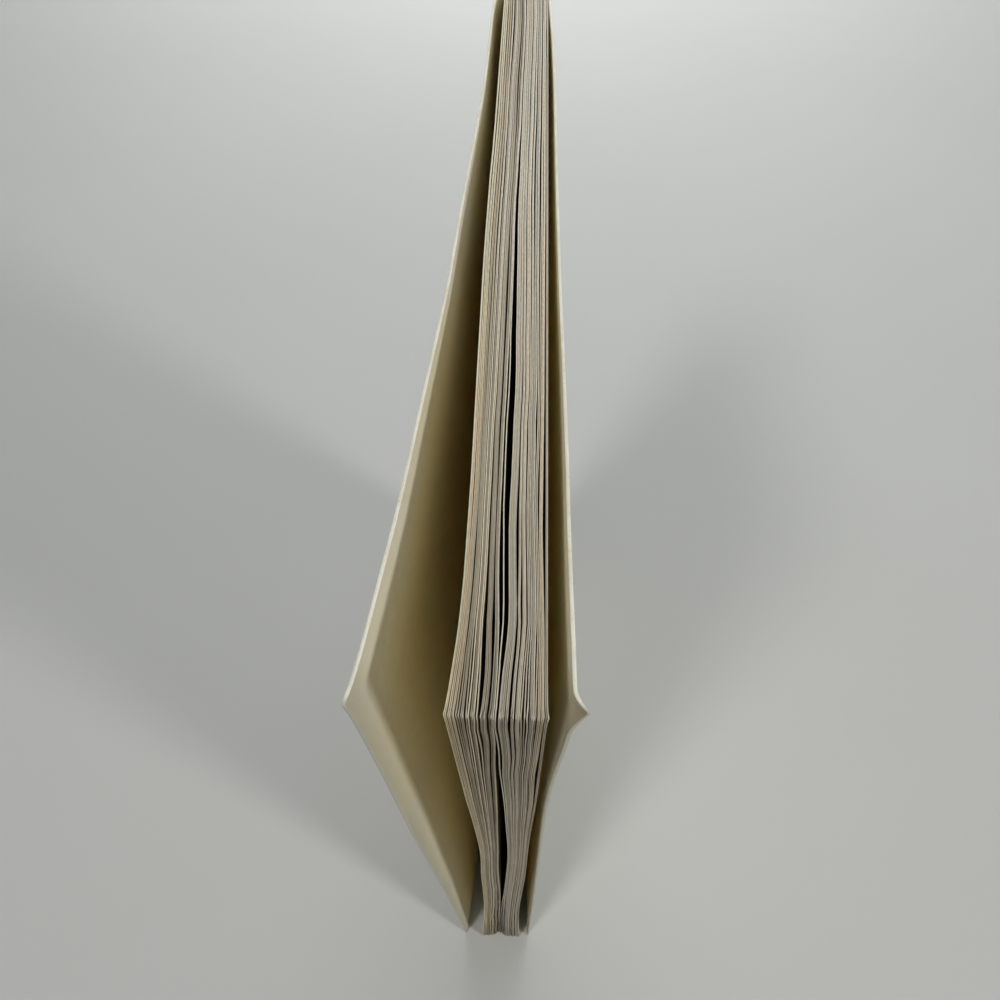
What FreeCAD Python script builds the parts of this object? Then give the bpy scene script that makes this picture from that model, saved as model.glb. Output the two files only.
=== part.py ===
import FreeCAD, Part
import Sketcher
import math
import os

# Thin pocket paperback standing upright on its tail, fore-edge towards -Y, spine towards +Y.
# The origin is on the surface it stands on, at the centre of the page block's tail face.
# All lengths are millimetres.

doc = FreeCAD.newDocument("paperback")

# ----------------------------------------------------------------------------------------
# Driving dimensions
# ----------------------------------------------------------------------------------------
sheet = doc.addObject("Spreadsheet::Sheet", "dimensions")
ROWS = [
    ("book_height", 178.0, "head to tail, trimmed size"),
    ("book_width", 110.0, "fore-edge to the outside of the spine"),
    ("block_thick", 6.4, "page block at the spine, 48 leaves pressed together"),
    ("card_thick", 0.28, "cover card"),
    ("glue_thick", 0.4, "binding glue behind the leaves"),
    ("fold_clear", 0.02, "room between the spine card and the cover card beside it"),
    ("front_ajar", 6.8, "how far the front cover's fore-edge stands out of its closed plane"),
    ("back_ajar", 1.72, "the same for the back cover"),
    ("front_tail_spread", 0.6, "how much further the front cover stands out at the tail"),
    ("back_wave", 0.84, "depth of the back cover's inward wave below the head"),
    ("cover_setback", 0.5, "how far the covers' fore-edges stand back from the leaves' fore-edge"),
    ("ear_bend", 0.9, "how far the tip of the dog-eared corner is bent outward"),
    ("ear_along_head", 3.2, "length of the dog-ear along the head"),
    ("ear_along_fore", 6.5, "length of the dog-ear along the fore-edge"),
    ("left_lean", 2.2, "lean of the left leaves' fore-edge at the tail"),
    ("right_lean", 1.36, "lean of the right leaves' fore-edge at the tail"),
    ("corner_flare", 0.42, "flare of the left leaves at the fore-edge"),
    ("parting_open", 0.5, "width of the parting between the pages at the fore-edge"),
    ("parting_depth", 62.0, "how far the parting reaches in from the fore-edge, at the head"),
    ("parting_drop", 96.0, "how far the parting reaches down the fore-edge"),
    ("spine_round", 0.12, "rounding of the spine card's outer edges"),
]
sheet.set("A1", "name")
sheet.set("B1", "value")
sheet.set("C1", "meaning")
for i, (alias, value, meaning) in enumerate(ROWS, start=2):
    sheet.set("A%d" % i, alias)
    sheet.set("B%d" % i, str(value))
    sheet.set("C%d" % i, meaning)
    sheet.setAlias("B%d" % i, alias)
doc.recompute()


def dim(alias):
    return float(sheet.get(alias))


height = dim("book_height")
width = dim("book_width")
block = dim("block_thick")
card = dim("card_thick")
glue = dim("glue_thick")
clear = dim("fold_clear")

back_y = width / 2.0            # outside of the spine
fore_y = -width / 2.0           # trimmed fore-edge of the leaves
cover_y = fore_y + dim("cover_setback")   # fore-edge of both covers
leaf_end_y = back_y - card - glue
fold_x = block / 2.0 + clear + card   # outer fold line of each cover


# ----------------------------------------------------------------------------------------
# Plan curves. The tables give shapes; the sheet's values set their size.
# ----------------------------------------------------------------------------------------
def smooth(table, at):
    """Value at a point of a table, by monotone cubic steps between its rows."""
    xs = [p[0] for p in table]
    ys = [p[1] for p in table]
    if at <= xs[0]:
        return ys[0]
    if at >= xs[-1]:
        return ys[-1]
    n = len(xs)
    slope = [(ys[k + 1] - ys[k]) / (xs[k + 1] - xs[k]) for k in range(n - 1)]
    tangent = [slope[0]]
    for k in range(1, n - 1):
        if slope[k - 1] * slope[k] <= 0.0:
            tangent.append(0.0)
        else:
            wa = 2 * (xs[k + 1] - xs[k]) + (xs[k] - xs[k - 1])
            wb = (xs[k + 1] - xs[k]) + 2 * (xs[k] - xs[k - 1])
            tangent.append((wa + wb) / (wa / slope[k - 1] + wb / slope[k]))
    tangent.append(slope[-1])
    for k in range(n - 1):
        if at <= xs[k + 1]:
            w = xs[k + 1] - xs[k]
            u = (at - xs[k]) / w
            return ((2 * u ** 3 - 3 * u ** 2 + 1) * ys[k] + (u ** 3 - 2 * u ** 2 + u) * w * tangent[k]
                    + (-2 * u ** 3 + 3 * u ** 2) * ys[k + 1] + (u ** 3 - u ** 2) * w * tangent[k + 1])
    return ys[-1]


# outward distance of each cover's outer face from its fold line, as a share of the distance
# at the fore-edge, against the share of the way from the fold to the fore-edge
FRONT_BOW = [(0.0, 0.0), (0.009, 0.028), (0.025, 0.118), (0.043, 0.166), (0.065, 0.189), (0.10, 0.202), (0.165, 0.208),
             (0.26, 0.226), (0.34, 0.274), (0.436, 0.350), (0.52, 0.412), (0.595, 0.456), (0.66, 0.518),
             (0.718, 0.585), (0.772, 0.647), (0.818, 0.699), (0.864, 0.760), (0.903, 0.824), (0.94, 0.885),
             (0.972, 0.941), (1.0, 1.0)]
BACK_BOW = [(0.0, 0.0), (0.053, 0.03), (0.09, 0.12), (0.164, 0.273), (0.26, 0.384), (0.34, 0.430),
            (0.436, 0.465), (0.52, 0.512), (0.59, 0.564), (0.655, 0.640), (0.718, 0.721), (0.77, 0.779),
            (0.818, 0.814), (0.86, 0.831), (0.90, 0.866), (0.936, 0.913), (0.969, 0.953), (1.0, 1.0)]
# how the fore-edges wander from head to tail: share of the lean or wave against the share
# of the way down
FRONT_DOWN = [(0.0, 0.0), (0.045, -0.08), (0.10, 0.0), (0.163, 0.13), (0.26, 0.40), (0.38, 0.37),
              (0.55, 0.25), (0.78, 0.60), (1.0, 1.0)]
BACK_DOWN = [(0.0, 0.0), (0.022, -0.18), (0.045, -0.33), (0.073, -0.62), (0.118, -0.93), (0.168, -1.0),
             (0.213, -0.95), (0.30, -0.76), (0.376, -0.56), (0.478, -0.30), (0.58, -0.06), (0.75, 0.24),
             (0.93, 0.54), (1.0, 0.60)]
LEFT_DOWN = [(0.0, 0.0), (0.13, -0.15), (0.20, -0.27), (0.275, -0.34), (0.33, -0.27), (0.382, -0.145),
             (0.466, -0.045), (0.556, 0.07), (0.646, 0.25), (0.736, 0.47), (0.86, 0.80), (1.0, 1.22)]
RIGHT_DOWN = [(0.0, 0.0), (0.13, 0.02), (0.20, 0.14), (0.27, 0.18), (0.37, 0.16), (0.49, 0.29),
              (0.62, 0.44), (0.80, 0.36), (1.0, -0.10)]
# the left face of the block along the head: a slight waist, then a flare at the fore-edge
LEFT_HEAD = [(0.0, 0.0), (0.36, 0.0), (0.46, 0.10), (0.55, 0.10), (0.66, -0.02), (0.76, -0.16),
             (0.84, -0.26), (0.90, -0.26), (0.94, -0.14), (0.97, 0.10), (1.0, 0.38)]


def share_in(y):
    """0 at the fold, 1 at the fore-edge."""
    return min(1.0, max(0.0, (back_y - y) / width))


def share_down(z):
    """0 at the head, 1 at the tail."""
    return min(1.0, max(0.0, (height - z) / height))


def front_out(y, z):
    a = share_in(y)
    spread = dim("front_tail_spread") * smooth(FRONT_DOWN, share_down(z)) * a ** 1.5
    return dim("front_ajar") * smooth(FRONT_BOW, a) + spread


def ear(y, z):
    """Outward bend of the back cover's head corner, over a diagonal crease."""
    a = (y - cover_y) / dim("ear_along_head")
    b = (height - z) / dim("ear_along_fore")
    inside = 1.0 - a - b
    if inside <= 0.0:
        return 0.0
    return dim("ear_bend") * inside ** 2.2


def back_out(y, z):
    a = share_in(y)
    wave = dim("back_wave") * smooth(BACK_DOWN, share_down(z)) * a ** 1.3
    return dim("back_ajar") * smooth(BACK_BOW, a) + wave + ear(y, z)


def bend_share(y):
    """Leaves are held at the spine and bend more and more towards the fore-edge."""
    return share_in(y) ** 2.2


def block_left(y, z):
    head_line = smooth(LEFT_HEAD, share_in(y)) * dim("corner_flare") / 0.42
    lean = dim("left_lean") * smooth(LEFT_DOWN, share_down(z))
    return -(block / 2.0 + head_line + lean * bend_share(y))


def block_right(y, z):
    lean = dim("right_lean") * smooth(RIGHT_DOWN, share_down(z))
    return block / 2.0 - lean * bend_share(y)


# ----------------------------------------------------------------------------------------
# A closed solid between two curved faces that share the same rectangle in y and z
# ----------------------------------------------------------------------------------------
def curved_face(points):
    surface = Part.BSplineSurface()
    surface.interpolate(points)
    return surface


def edge_on(surface, which):
    if which == "u0":
        return surface.uIso(surface.bounds()[0]).toShape()
    if which == "u1":
        return surface.uIso(surface.bounds()[1]).toShape()
    if which == "v0":
        return surface.vIso(surface.bounds()[2]).toShape()
    return surface.vIso(surface.bounds()[3]).toShape()


def slab(side_a, side_b, ys, zs):
    """side_a and side_b give (x, y) for a row of ys at a height z."""
    grid_a = [[FreeCAD.Vector(*side_a(y, z), z) for z in zs] for y in ys]
    grid_b = [[FreeCAD.Vector(*side_b(y, z), z) for z in zs] for y in ys]
    surf_a, surf_b = curved_face(grid_a), curved_face(grid_b)
    faces = [surf_a.toShape(), surf_b.toShape()]
    for which in ("u0", "u1", "v0", "v1"):
        faces.append(Part.makeRuledSurface(edge_on(surf_a, which), edge_on(surf_b, which)))
    shell = Part.makeShell(faces)
    shell.sewShape()
    fixed = Part.makeSolid(Part.Shell(shell.Faces))
    if fixed.Volume < 0:
        fixed.reverse()
    return fixed


def feature(name, shape):
    made = doc.addObject("Part::Feature", name)
    made.Label = name
    made.Shape = shape
    made.Placement = FreeCAD.Placement(FreeCAD.Vector(0, 0, 0), FreeCAD.Rotation())
    return made


zs_plain = [0.0, 8, 20, 34, 48, 62, 76, 90, 102, 112, 122, 132, 142, 150, 157, 163, 168, 172, 175, 178]
zs_plain = [z * height / 178.0 for z in zs_plain]

# ----------------------------------------------------------------------------------------
# page_block: the body of leaves, as one solid, with the parting between two page groups
# ----------------------------------------------------------------------------------------
# width of the parting in mm along the head, against mm in from the fore-edge
PART_HEAD = [(0.0, 0.10), (3.0, 0.14), (7.0, 0.30), (11.0, 0.48), (15.0, 0.54), (20.0, 0.50), (31.0, 0.45),
             (37.0, 0.40), (45.0, 0.31), (53.0, 0.24), (64.0, 0.16)]
# and along the fore-edge, against mm down from the head
PART_FORE = [(0.0, 0.05), (10.0, 0.11), (18.0, 0.36), (23.0, 0.54), (36.0, 0.84), (48.0, 1.06), (56.0, 1.12),
             (66.0, 1.04), (78.0, 0.80), (88.0, 0.56), (98.0, 0.36), (112.0, 0.22), (178.0, 0.18)]
PART_REACH = [(0.0, 1.0), (0.12, 0.98), (0.25, 0.88), (0.4, 0.72), (0.6, 0.52), (0.8, 0.42), (1.0, 0.38)]


def parting_line(y, z):
    """Middle of the parting, close to the block's middle."""
    left, right = block_left(y, z), block_right(y, z)
    return left + (right - left) * smooth([(0.0, 0.525), (0.06, 0.505), (0.14, 0.48), (0.3, 0.49), (0.6, 0.475)],
                                          (y - fore_y) / width)


def parting_width(y, z):
    inward = y - fore_y
    down = height - z
    along_head = smooth(PART_HEAD, inward) * math.exp(-(down / 34.0) ** 2)
    along_fore = smooth(PART_FORE, down * 178.0 / height) * math.exp(-(inward / 17.0) ** 2)
    return 0.06 + dim("parting_open") / 0.5 * (along_head + along_fore)


def parting_reach(z):
    return fore_y + dim("parting_depth") * smooth(PART_REACH, share_down(z))


def spread_rows(y_from, y_to, shares):
    return [y_from + (y_to - y_from) * k for k in shares]


ROWS_OUT = (0.0, 0.014, 0.03, 0.05, 0.08, 0.12, 0.17, 0.24, 0.32, 0.41, 0.5, 0.6, 0.7, 0.8, 0.9, 1.0)
ROWS_IN = (0.0, 0.03, 0.07, 0.12, 0.18, 0.25, 0.33, 0.42, 0.52, 0.64, 0.78, 0.9, 1.0)


def curve(points):
    made = Part.BSplineCurve()
    made.interpolate(points)
    return made.toShape()


def block_section(z):
    """The block's plan at one height: outer sides, back, fore-edge and the parting."""
    rows_out = spread_rows(fore_y, leaf_end_y, ROWS_OUT)
    rows_in = spread_rows(fore_y, parting_reach(z), ROWS_IN)
    left = [FreeCAD.Vector(block_left(y, z), y, z) for y in rows_out]
    right = [FreeCAD.Vector(block_right(y, z), y, z) for y in rows_out]
    part_l = [FreeCAD.Vector(parting_line(y, z) - parting_width(y, z) / 2, y, z) for y in rows_in]
    part_r = [FreeCAD.Vector(parting_line(y, z) + parting_width(y, z) / 2, y, z) for y in rows_in]
    return Part.Wire([
        curve(left), Part.makeLine(left[-1], right[-1]), curve(right[::-1]),
        Part.makeLine(right[0], part_r[0]), curve(part_r), Part.makeLine(part_r[-1], part_l[-1]),
        curve(part_l[::-1]), Part.makeLine(part_l[0], left[0])])


leaves = Part.makeLoft([block_section(z) for z in zs_plain], True, False)
page_block = feature("page_block", leaves)


# ----------------------------------------------------------------------------------------
# Covers: card of one thickness, bowed, hinged at their fold beside the spine
# ----------------------------------------------------------------------------------------
def cover(sign, outward, ys, zs):
    def outer(y, z):
        return sign * (fold_x + outward(y, z)), y

    def inner(y, z):
        step = 0.05
        ya, yb = max(cover_y, y - step), min(back_y, y + step)
        dx = sign * (outward(yb, z) - outward(ya, z))
        dy = yb - ya
        long = math.hypot(dx, dy)
        # unit normal of the outer face, pointing towards the leaves
        nx, ny = -sign * dy / long, sign * dx / long
        x = sign * (fold_x + outward(y, z)) + nx * card
        if y in (ys[0], ys[-1]):
            return x, y
        return x, y + ny * card

    return slab(outer, inner, ys, zs)


cover_width = back_y - cover_y
ys_front = [back_y - cover_width * k for k in
            (0.0, 0.006, 0.014, 0.026, 0.042, 0.062, 0.09, 0.13, 0.18, 0.25, 0.33, 0.42, 0.51, 0.60, 0.68,
             0.76, 0.83, 0.89, 0.94, 0.975, 1.0)]
front_cover = feature("front_cover", cover(-1.0, front_out, ys_front, zs_plain))

ys_back = [back_y - cover_width * k for k in
           (0.0, 0.025, 0.055, 0.09, 0.13, 0.18, 0.25, 0.33, 0.42, 0.51, 0.60, 0.68, 0.76, 0.83, 0.88, 0.915,
            0.94, 0.958, 0.970, 0.980, 0.990, 1.0)]
zs_back = [z * height / 178.0 for z in
           (0.0, 10, 24, 40, 56, 72, 88, 102, 116, 128, 138, 147, 154, 160, 164, 167, 169.5, 171.5, 173.0,
            174.3, 175.6, 176.8, 178)]
back_cover = feature("back_cover", cover(1.0, back_out, ys_back, zs_back))


# ----------------------------------------------------------------------------------------
# Spine: the glue strip and the spine panel of the cover card
# ----------------------------------------------------------------------------------------
def body_plane(body, role):
    for item in body.Origin.OriginFeatures:
        if item.Role == role:
            return item
    raise RuntimeError("no plane " + role)


def strip(name, half_x, y_low, y_high):
    """An upright strip: a rectangle on the XY plane, padded to the book's height."""
    body = doc.addObject("PartDesign::Body", name)
    body.Label = name
    sketch = body.newObject("Sketcher::SketchObject", name + "_plan")
    sketch.AttachmentSupport = (body_plane(body, "XY_Plane"), [""])
    sketch.MapMode = "FlatFace"
    a, b, c, d = 1.0, 2.0, 1.0, 2.0
    corners = [(-a, c), (b, c), (b, d), (-a, d)]
    for k in range(4):
        p, q = corners[k], corners[(k + 1) % 4]
        sketch.addGeometry(Part.LineSegment(FreeCAD.Vector(p[0], p[1], 0), FreeCAD.Vector(q[0], q[1], 0)), False)
    for k in range(4):
        sketch.addConstraint(Sketcher.Constraint("Coincident", k, 2, (k + 1) % 4, 1))
    sketch.addConstraint(Sketcher.Constraint("Horizontal", 0))
    sketch.addConstraint(Sketcher.Constraint("Horizontal", 2))
    sketch.addConstraint(Sketcher.Constraint("Vertical", 1))
    sketch.addConstraint(Sketcher.Constraint("Vertical", 3))
    for label, first, pos, kind, formula, start in (
            ("left", 0, 1, "DistanceX", half_x, a), ("right", 0, 2, "DistanceX", half_x, b),
            ("near", 0, 1, "DistanceY", y_low, c), ("far", 2, 1, "DistanceY", y_high, d)):
        if label == "left":
            index = sketch.addConstraint(Sketcher.Constraint(kind, first, pos, -1, 1, start))
        else:
            index = sketch.addConstraint(Sketcher.Constraint(kind, -1, 1, first, pos, start))
        sketch.renameConstraint(index, label)
        sketch.setExpression("Constraints." + label, formula)
    pad = body.newObject("PartDesign::Pad", name + "_height")
    pad.Profile = sketch
    pad.setExpression("Length", "dimensions.book_height")
    doc.recompute()
    body.Placement = FreeCAD.Placement(FreeCAD.Vector(0, 0, 0), FreeCAD.Rotation())
    return body


spine_glue = strip("spine_glue", "dimensions.block_thick / 2 - 0.05",
                   "dimensions.book_width / 2 - dimensions.card_thick - dimensions.glue_thick",
                   "dimensions.book_width / 2 - dimensions.card_thick")
spine_panel = strip("spine_panel", "dimensions.block_thick / 2",
                    "dimensions.book_width / 2 - dimensions.card_thick",
                    "dimensions.book_width / 2")
doc.recompute()
spine_pad = spine_panel.Tip
edges = []
for i, edge in enumerate(spine_pad.Shape.Edges, start=1):
    box = edge.BoundBox
    if box.ZLength > height * 0.9 and abs(box.YMax - back_y) < 1e-6:
        edges.append("Edge%d" % i)
if len(edges) != 2:
    raise RuntimeError("spine card edges not found")
rounding = spine_panel.newObject("PartDesign::Fillet", "spine_panel_round")
rounding.Base = (spine_pad, edges)
rounding.setExpression("Radius", "dimensions.spine_round")
doc.recompute()

# ----------------------------------------------------------------------------------------
# Checks and export
# ----------------------------------------------------------------------------------------
doc.recompute()
for item in doc.Objects:
    if any(word in item.State for word in ("Invalid", "Error")):
        raise RuntimeError("failed: " + item.Name)

os.makedirs("parts", exist_ok=True)
for node in (page_block, spine_glue, spine_panel, front_cover, back_cover):
    shape = node.Shape
    if shape.isNull() or not shape.isValid() or len(shape.Solids) != 1 or shape.Volume <= 0:
        raise RuntimeError("bad shape: " + node.Label)
    box = shape.BoundBox
    print("%-12s volume %9.2f mm3  x %.2f..%.2f  y %.2f..%.2f  z %.2f..%.2f" % (
        node.Label, shape.Volume, box.XMin, box.XMax, box.YMin, box.YMax, box.ZMin, box.ZMax))
    shape.exportStep("parts/" + node.Label + ".step")
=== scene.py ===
import math

import bpy
import numpy as np
from mathutils import Matrix, Vector


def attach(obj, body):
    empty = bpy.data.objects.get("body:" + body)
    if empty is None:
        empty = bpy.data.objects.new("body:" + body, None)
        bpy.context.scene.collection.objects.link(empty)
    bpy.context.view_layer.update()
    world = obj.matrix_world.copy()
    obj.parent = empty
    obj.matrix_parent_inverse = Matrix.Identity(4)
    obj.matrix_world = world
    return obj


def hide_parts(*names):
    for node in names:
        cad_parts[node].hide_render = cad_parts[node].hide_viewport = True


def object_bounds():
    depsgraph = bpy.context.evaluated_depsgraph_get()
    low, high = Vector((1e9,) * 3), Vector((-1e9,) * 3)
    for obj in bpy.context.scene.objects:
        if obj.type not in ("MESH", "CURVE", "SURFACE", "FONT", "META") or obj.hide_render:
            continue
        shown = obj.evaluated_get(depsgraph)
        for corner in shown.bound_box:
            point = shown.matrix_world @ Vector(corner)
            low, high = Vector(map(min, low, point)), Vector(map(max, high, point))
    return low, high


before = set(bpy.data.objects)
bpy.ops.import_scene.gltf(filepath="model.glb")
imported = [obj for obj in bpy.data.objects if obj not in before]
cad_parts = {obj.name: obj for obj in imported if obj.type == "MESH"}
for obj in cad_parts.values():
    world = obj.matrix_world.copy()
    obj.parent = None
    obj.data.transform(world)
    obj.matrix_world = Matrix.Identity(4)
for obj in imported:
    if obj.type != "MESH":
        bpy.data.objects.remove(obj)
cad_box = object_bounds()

MM = 0.001
CAD_LOW = np.array(cad_box[0])
CAD_HIGH = np.array(cad_box[1])

# ----------------------------------------------------------------------------------------
# The book's sizes and plan curves, in millimetres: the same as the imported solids
# ----------------------------------------------------------------------------------------
HEIGHT, WIDTH, BLOCK, CARD, GLUE, CLEAR = 178.0, 110.0, 6.4, 0.28, 0.4, 0.02
BACK, FORE = WIDTH / 2, -WIDTH / 2
COVER_FORE = FORE + 0.5
LEAF_END = BACK - CARD - GLUE
FOLD_X = BLOCK / 2 + CLEAR + CARD


def smooth(table, at):
    """Monotone cubic through a table's rows, for one value or an array."""
    xs = np.array([p[0] for p in table], float)
    ys = np.array([p[1] for p in table], float)
    at = np.clip(np.asarray(at, float), xs[0], xs[-1])
    step = np.diff(xs)
    slope = np.diff(ys) / step
    tangent = np.empty_like(xs)
    tangent[0], tangent[-1] = slope[0], slope[-1]
    for k in range(1, len(xs) - 1):
        if slope[k - 1] * slope[k] <= 0:
            tangent[k] = 0.0
        else:
            wa = 2 * step[k] + step[k - 1]
            wb = step[k] + 2 * step[k - 1]
            tangent[k] = (wa + wb) / (wa / slope[k - 1] + wb / slope[k])
    k = np.clip(np.searchsorted(xs, at, side="right") - 1, 0, len(xs) - 2)
    w = step[k]
    u = (at - xs[k]) / w
    return ((2 * u ** 3 - 3 * u ** 2 + 1) * ys[k] + (u ** 3 - 2 * u ** 2 + u) * w * tangent[k]
            + (-2 * u ** 3 + 3 * u ** 2) * ys[k + 1] + (u ** 3 - u ** 2) * w * tangent[k + 1])


FRONT_BOW = [(0.0, 0.0), (0.009, 0.028), (0.025, 0.118), (0.043, 0.166), (0.065, 0.189), (0.10, 0.202), (0.165, 0.208),
             (0.26, 0.226), (0.34, 0.274), (0.436, 0.350), (0.52, 0.412), (0.595, 0.456), (0.66, 0.518),
             (0.718, 0.585), (0.772, 0.647), (0.818, 0.699), (0.864, 0.760), (0.903, 0.824), (0.94, 0.885),
             (0.972, 0.941), (1.0, 1.0)]
BACK_BOW = [(0.0, 0.0), (0.053, 0.03), (0.09, 0.12), (0.164, 0.273), (0.26, 0.384), (0.34, 0.430),
            (0.436, 0.465), (0.52, 0.512), (0.59, 0.564), (0.655, 0.640), (0.718, 0.721), (0.77, 0.779),
            (0.818, 0.814), (0.86, 0.831), (0.90, 0.866), (0.936, 0.913), (0.969, 0.953), (1.0, 1.0)]
FRONT_DOWN = [(0.0, 0.0), (0.045, -0.08), (0.10, 0.0), (0.163, 0.13), (0.26, 0.40), (0.38, 0.37),
              (0.55, 0.25), (0.78, 0.60), (1.0, 1.0)]
BACK_DOWN = [(0.0, 0.0), (0.022, -0.18), (0.045, -0.33), (0.073, -0.62), (0.118, -0.93), (0.168, -1.0),
             (0.213, -0.95), (0.30, -0.76), (0.376, -0.56), (0.478, -0.30), (0.58, -0.06), (0.75, 0.24),
             (0.93, 0.54), (1.0, 0.60)]
LEFT_DOWN = [(0.0, 0.0), (0.13, -0.15), (0.20, -0.27), (0.275, -0.34), (0.33, -0.27), (0.382, -0.145),
             (0.466, -0.045), (0.556, 0.07), (0.646, 0.25), (0.736, 0.47), (0.86, 0.80), (1.0, 1.22)]
RIGHT_DOWN = [(0.0, 0.0), (0.13, 0.02), (0.20, 0.14), (0.27, 0.18), (0.37, 0.16), (0.49, 0.29),
              (0.62, 0.44), (0.80, 0.36), (1.0, -0.10)]
LEFT_HEAD = [(0.0, 0.0), (0.36, 0.0), (0.46, 0.10), (0.55, 0.10), (0.66, -0.02), (0.76, -0.16),
             (0.84, -0.26), (0.90, -0.26), (0.94, -0.14), (0.97, 0.10), (1.0, 0.38)]


def share_in(y):
    return np.clip((BACK - y) / WIDTH, 0, 1)


def share_down(z):
    return np.clip((HEIGHT - z) / HEIGHT, 0, 1)


def front_out(y, z):
    a = share_in(y)
    return 6.8 * smooth(FRONT_BOW, a) + 0.6 * smooth(FRONT_DOWN, share_down(z)) * a ** 1.5


def ear(y, z):
    inside = np.maximum(0.0, 1.0 - (y - COVER_FORE) / 1.6 - (HEIGHT - z) / 4.8)
    return 0.9 * inside ** 1.6


def back_out(y, z):
    a = share_in(y)
    return 1.72 * smooth(BACK_BOW, a) + 0.84 * smooth(BACK_DOWN, share_down(z)) * a ** 1.3 + ear(y, z)


def block_left(y, z):
    lean = 2.2 * smooth(LEFT_DOWN, share_down(z)) * share_in(y) ** 2.2
    return -(BLOCK / 2 + smooth(LEFT_HEAD, share_in(y)) + lean)


def block_right(y, z):
    return BLOCK / 2 - 1.36 * smooth(RIGHT_DOWN, share_down(z)) * share_in(y) ** 2.2


# ----------------------------------------------------------------------------------------
# Mesh making
# ----------------------------------------------------------------------------------------
def waves(seed, y, z, size, octaves=3):
    """Smooth seeded noise over y and z, about -1 to 1; size is the longest wave in mm."""
    rng = np.random.default_rng(seed)
    total = np.zeros(np.broadcast(y, z).shape)
    norm = 0.0
    for o in range(octaves):
        amp = 0.6 ** o
        for _ in range(4):
            turn = rng.uniform(0, 2 * math.pi)
            k = 2 * math.pi / (size * 0.55 ** o * rng.uniform(0.7, 1.3))
            total = total + amp * np.sin(k * (math.cos(turn) * y + math.sin(turn) * z) + rng.uniform(0, 2 * math.pi))
        norm += amp * 2.2
    return total / norm


class Sheets:
    """Collects closed thin sheets, each between a left and a right grid of points."""

    def __init__(self):
        self.verts, self.faces, self.mats, self.values = [], [], [], []
        self.count = 0

    def add(self, left, right, side_mats=(0, 0), rim_mat=1, value=0.0, chamfer=0.0, rim_noise=None):
        na, nd = left.shape[:2]
        left, right = left.copy(), right.copy()
        loop = ([(i, 0) for i in range(na)] + [(na - 1, j) for j in range(1, nd)]
                + [(i, nd - 1) for i in range(na - 2, -1, -1)] + [(0, j) for j in range(nd - 2, 0, -1)])
        rim_l = rim_r = None
        if chamfer:
            el = np.array([left[p] for p in loop])
            er = np.array([right[p] for p in loop])
            across = er - el
            across /= np.linalg.norm(across, axis=1)[:, None]
            rim_l, rim_r = el + across * chamfer, er - across * chamfer
            for n, (i, j) in enumerate(loop):
                out = np.zeros(3)
                if i == 0:
                    out += unit(left[0, j] - left[1, j])
                if i == na - 1:
                    out += unit(left[na - 1, j] - left[na - 2, j])
                if j == 0:
                    out += unit(left[i, 0] - left[i, 1])
                if j == nd - 1:
                    out += unit(left[i, nd - 1] - left[i, nd - 2])
                out = unit(out)
                el[n] -= out * chamfer * 0.8
                er[n] -= out * chamfer * 0.8
                if rim_noise is not None:
                    rim_l[n] -= out * rim_noise[n % len(rim_noise)]
                    rim_r[n] -= out * rim_noise[(n * 7 + 3) % len(rim_noise)]
            for n, p in enumerate(loop):
                left[p], right[p] = el[n], er[n]
        base = self.count
        grid = np.arange(na * nd).reshape(na, nd) + base
        other = grid + na * nd
        self.verts += [left.reshape(-1, 3), right.reshape(-1, 3)]
        self.count += 2 * na * nd
        a, b, c, d = grid[:-1, :-1], grid[1:, :-1], grid[1:, 1:], grid[:-1, 1:]
        quads_l = np.stack([a, b, c, d], -1).reshape(-1, 4)
        a, b, c, d = other[:-1, :-1], other[1:, :-1], other[1:, 1:], other[:-1, 1:]
        quads_r = np.stack([a, d, c, b], -1).reshape(-1, 4)
        lines = [np.array([grid[p] for p in loop])]
        if chamfer:
            for extra in (rim_l, rim_r):
                lines.append(np.arange(len(loop)) + self.count)
                self.verts.append(extra)
                self.count += len(loop)
        lines.append(np.array([other[p] for p in loop]))
        rims = []
        for p, q in zip(lines[:-1], lines[1:]):
            rims.append(np.stack([p, q, np.roll(q, -1), np.roll(p, -1)], -1))
        rims = np.concatenate(rims)
        for quads, mat in ((quads_l, side_mats[0]), (quads_r, side_mats[1]), (rims, rim_mat)):
            self.faces.append(quads)
            self.mats.append(np.full(len(quads), mat))
        self.values.append(np.full(self.count - base, value))

    def build(self, name, materials):
        verts = np.concatenate(self.verts) * MM
        verts = np.clip(verts, CAD_LOW, CAD_HIGH)
        faces = np.concatenate(self.faces)
        mesh = bpy.data.meshes.new(name)
        mesh.from_pydata(verts.tolist(), [], faces.tolist())
        for m in materials:
            mesh.materials.append(m)
        mesh.polygons.foreach_set("material_index", np.concatenate(self.mats).astype(np.int32))
        tone = mesh.attributes.new("tone", "FLOAT", "POINT")
        tone.data.foreach_set("value", np.concatenate(self.values).astype(np.float32))
        mesh.polygons.foreach_set("use_smooth", np.ones(len(faces), bool))
        mesh.set_sharp_from_angle(angle=math.radians(50))
        mesh.update()
        obj = bpy.data.objects.new(name, mesh)
        bpy.context.scene.collection.objects.link(obj)
        return obj


def unit(v):
    n = np.linalg.norm(v)
    return v / n if n > 1e-12 else v


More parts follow.
